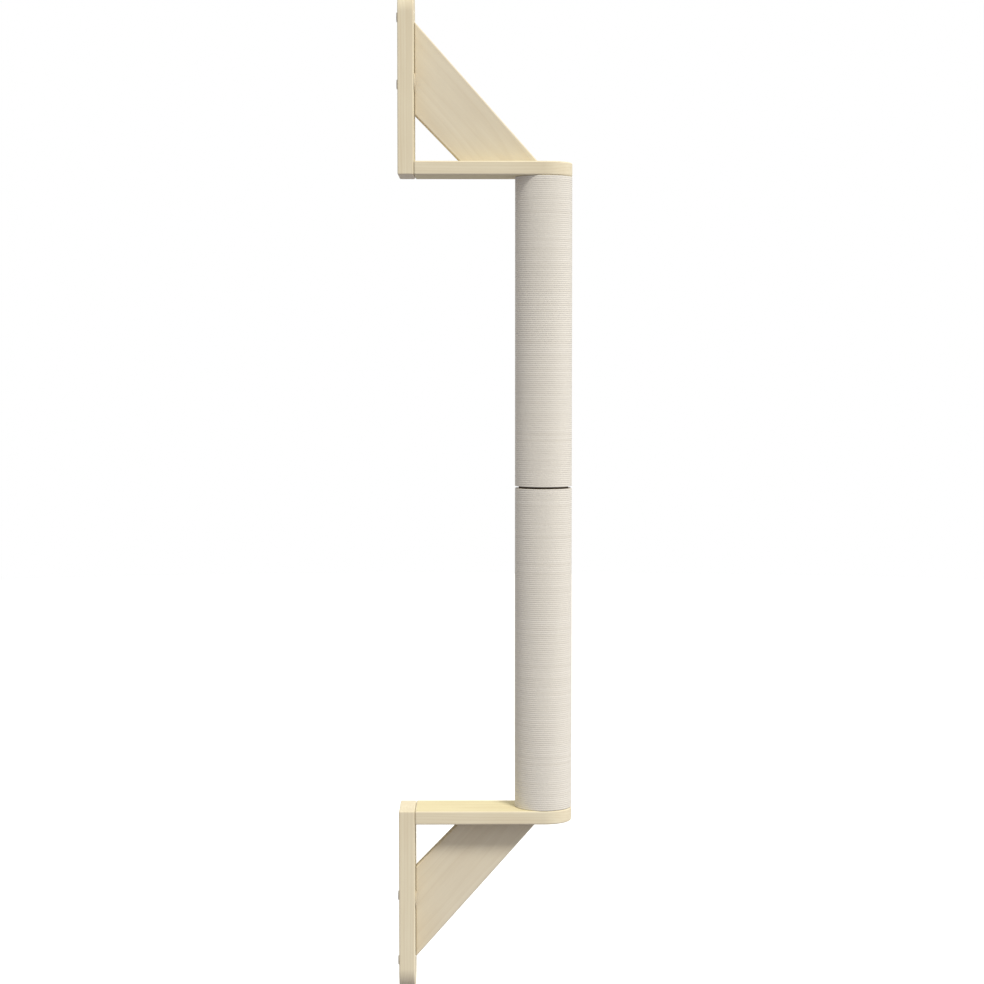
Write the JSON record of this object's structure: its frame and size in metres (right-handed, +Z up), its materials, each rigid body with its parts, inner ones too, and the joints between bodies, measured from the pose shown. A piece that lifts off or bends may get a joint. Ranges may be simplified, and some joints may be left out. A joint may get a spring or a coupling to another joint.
{
  "type": "wall-mounted cat scratching post",
  "caption": "Tall rope-wound scratching post held off the wall between two mirrored wooden shelf brackets.",
  "frame": {"origin": "centre of the lowest wall pad's face, on the wall plane, in the middle of the boards' width", "axes": "+X straight out from the wall, +Y across the boards to the right as seen from in front, +Z up along the post"},
  "size_m": [0.2298, 0.075, 1.324],
  "materials": {
    "pine": "clear matt lacquer",
    "cover_wood": "clear matt lacquer",
    "beech": "bare",
    "plywood": "bare",
    "cardboard": "bare wound board",
    "sisal": "fine natural rope",
    "zinc_steel": "bright zinc plate",
    "dark_plastic": "moulded, matt",
    "rubber": "matt"
  },
  "bodies": {
    "root": {"upper_wall_plate": "pine", "upper_shelf": "pine", "upper_brace": "pine", "upper_shelf_dowel_left": "beech", "upper_shelf_dowel_right": "beech", "upper_brace_wall_dowel_inner": "beech", "upper_brace_wall_dowel_outer": "beech", "upper_brace_shelf_dowel_inner": "beech", "upper_brace_shelf_dowel_outer": "beech", "upper_screw_cover_left": "cover_wood", "upper_screw_cover_right": "cover_wood", "upper_wall_pad_inner": "rubber", "upper_wall_pad_outer": "rubber", "upper_shelf_bolt": "zinc_steel", "upper_bolt_washer": "zinc_steel", "lower_wall_plate": "pine", "lower_shelf": "pine", "lower_brace": "pine", "lower_shelf_dowel_left": "beech", "lower_shelf_dowel_right": "beech", "lower_brace_wall_dowel_inner": "beech", "lower_brace_wall_dowel_outer": "beech", "lower_brace_shelf_dowel_inner": "beech", "lower_brace_shelf_dowel_outer": "beech", "lower_screw_cover_left": "cover_wood", "lower_screw_cover_right": "cover_wood", "lower_wall_pad_inner": "rubber", "lower_wall_pad_outer": "rubber", "lower_shelf_bolt": "zinc_steel", "lower_bolt_washer": "zinc_steel", "upper_core_tube": "cardboard", "upper_rope_wrap": "sisal", "upper_rope_turns_top": "sisal", "upper_rope_turns_joint": "sisal", "upper_top_plug": "plywood", "upper_joint_plug": "plywood", "upper_top_tee_nut": "zinc_steel", "upper_joint_tee_nut": "zinc_steel", "lower_core_tube": "cardboard", "lower_rope_wrap": "sisal", "lower_rope_turns_joint": "sisal", "lower_rope_turns_bottom": "sisal", "lower_joint_plug": "plywood", "lower_bottom_plug": "plywood", "lower_joint_tee_nut": "zinc_steel", "lower_bottom_tee_nut": "zinc_steel", "joining_stud": "zinc_steel", "joint_spacer": "dark_plastic"}
  },
  "joints": []
}
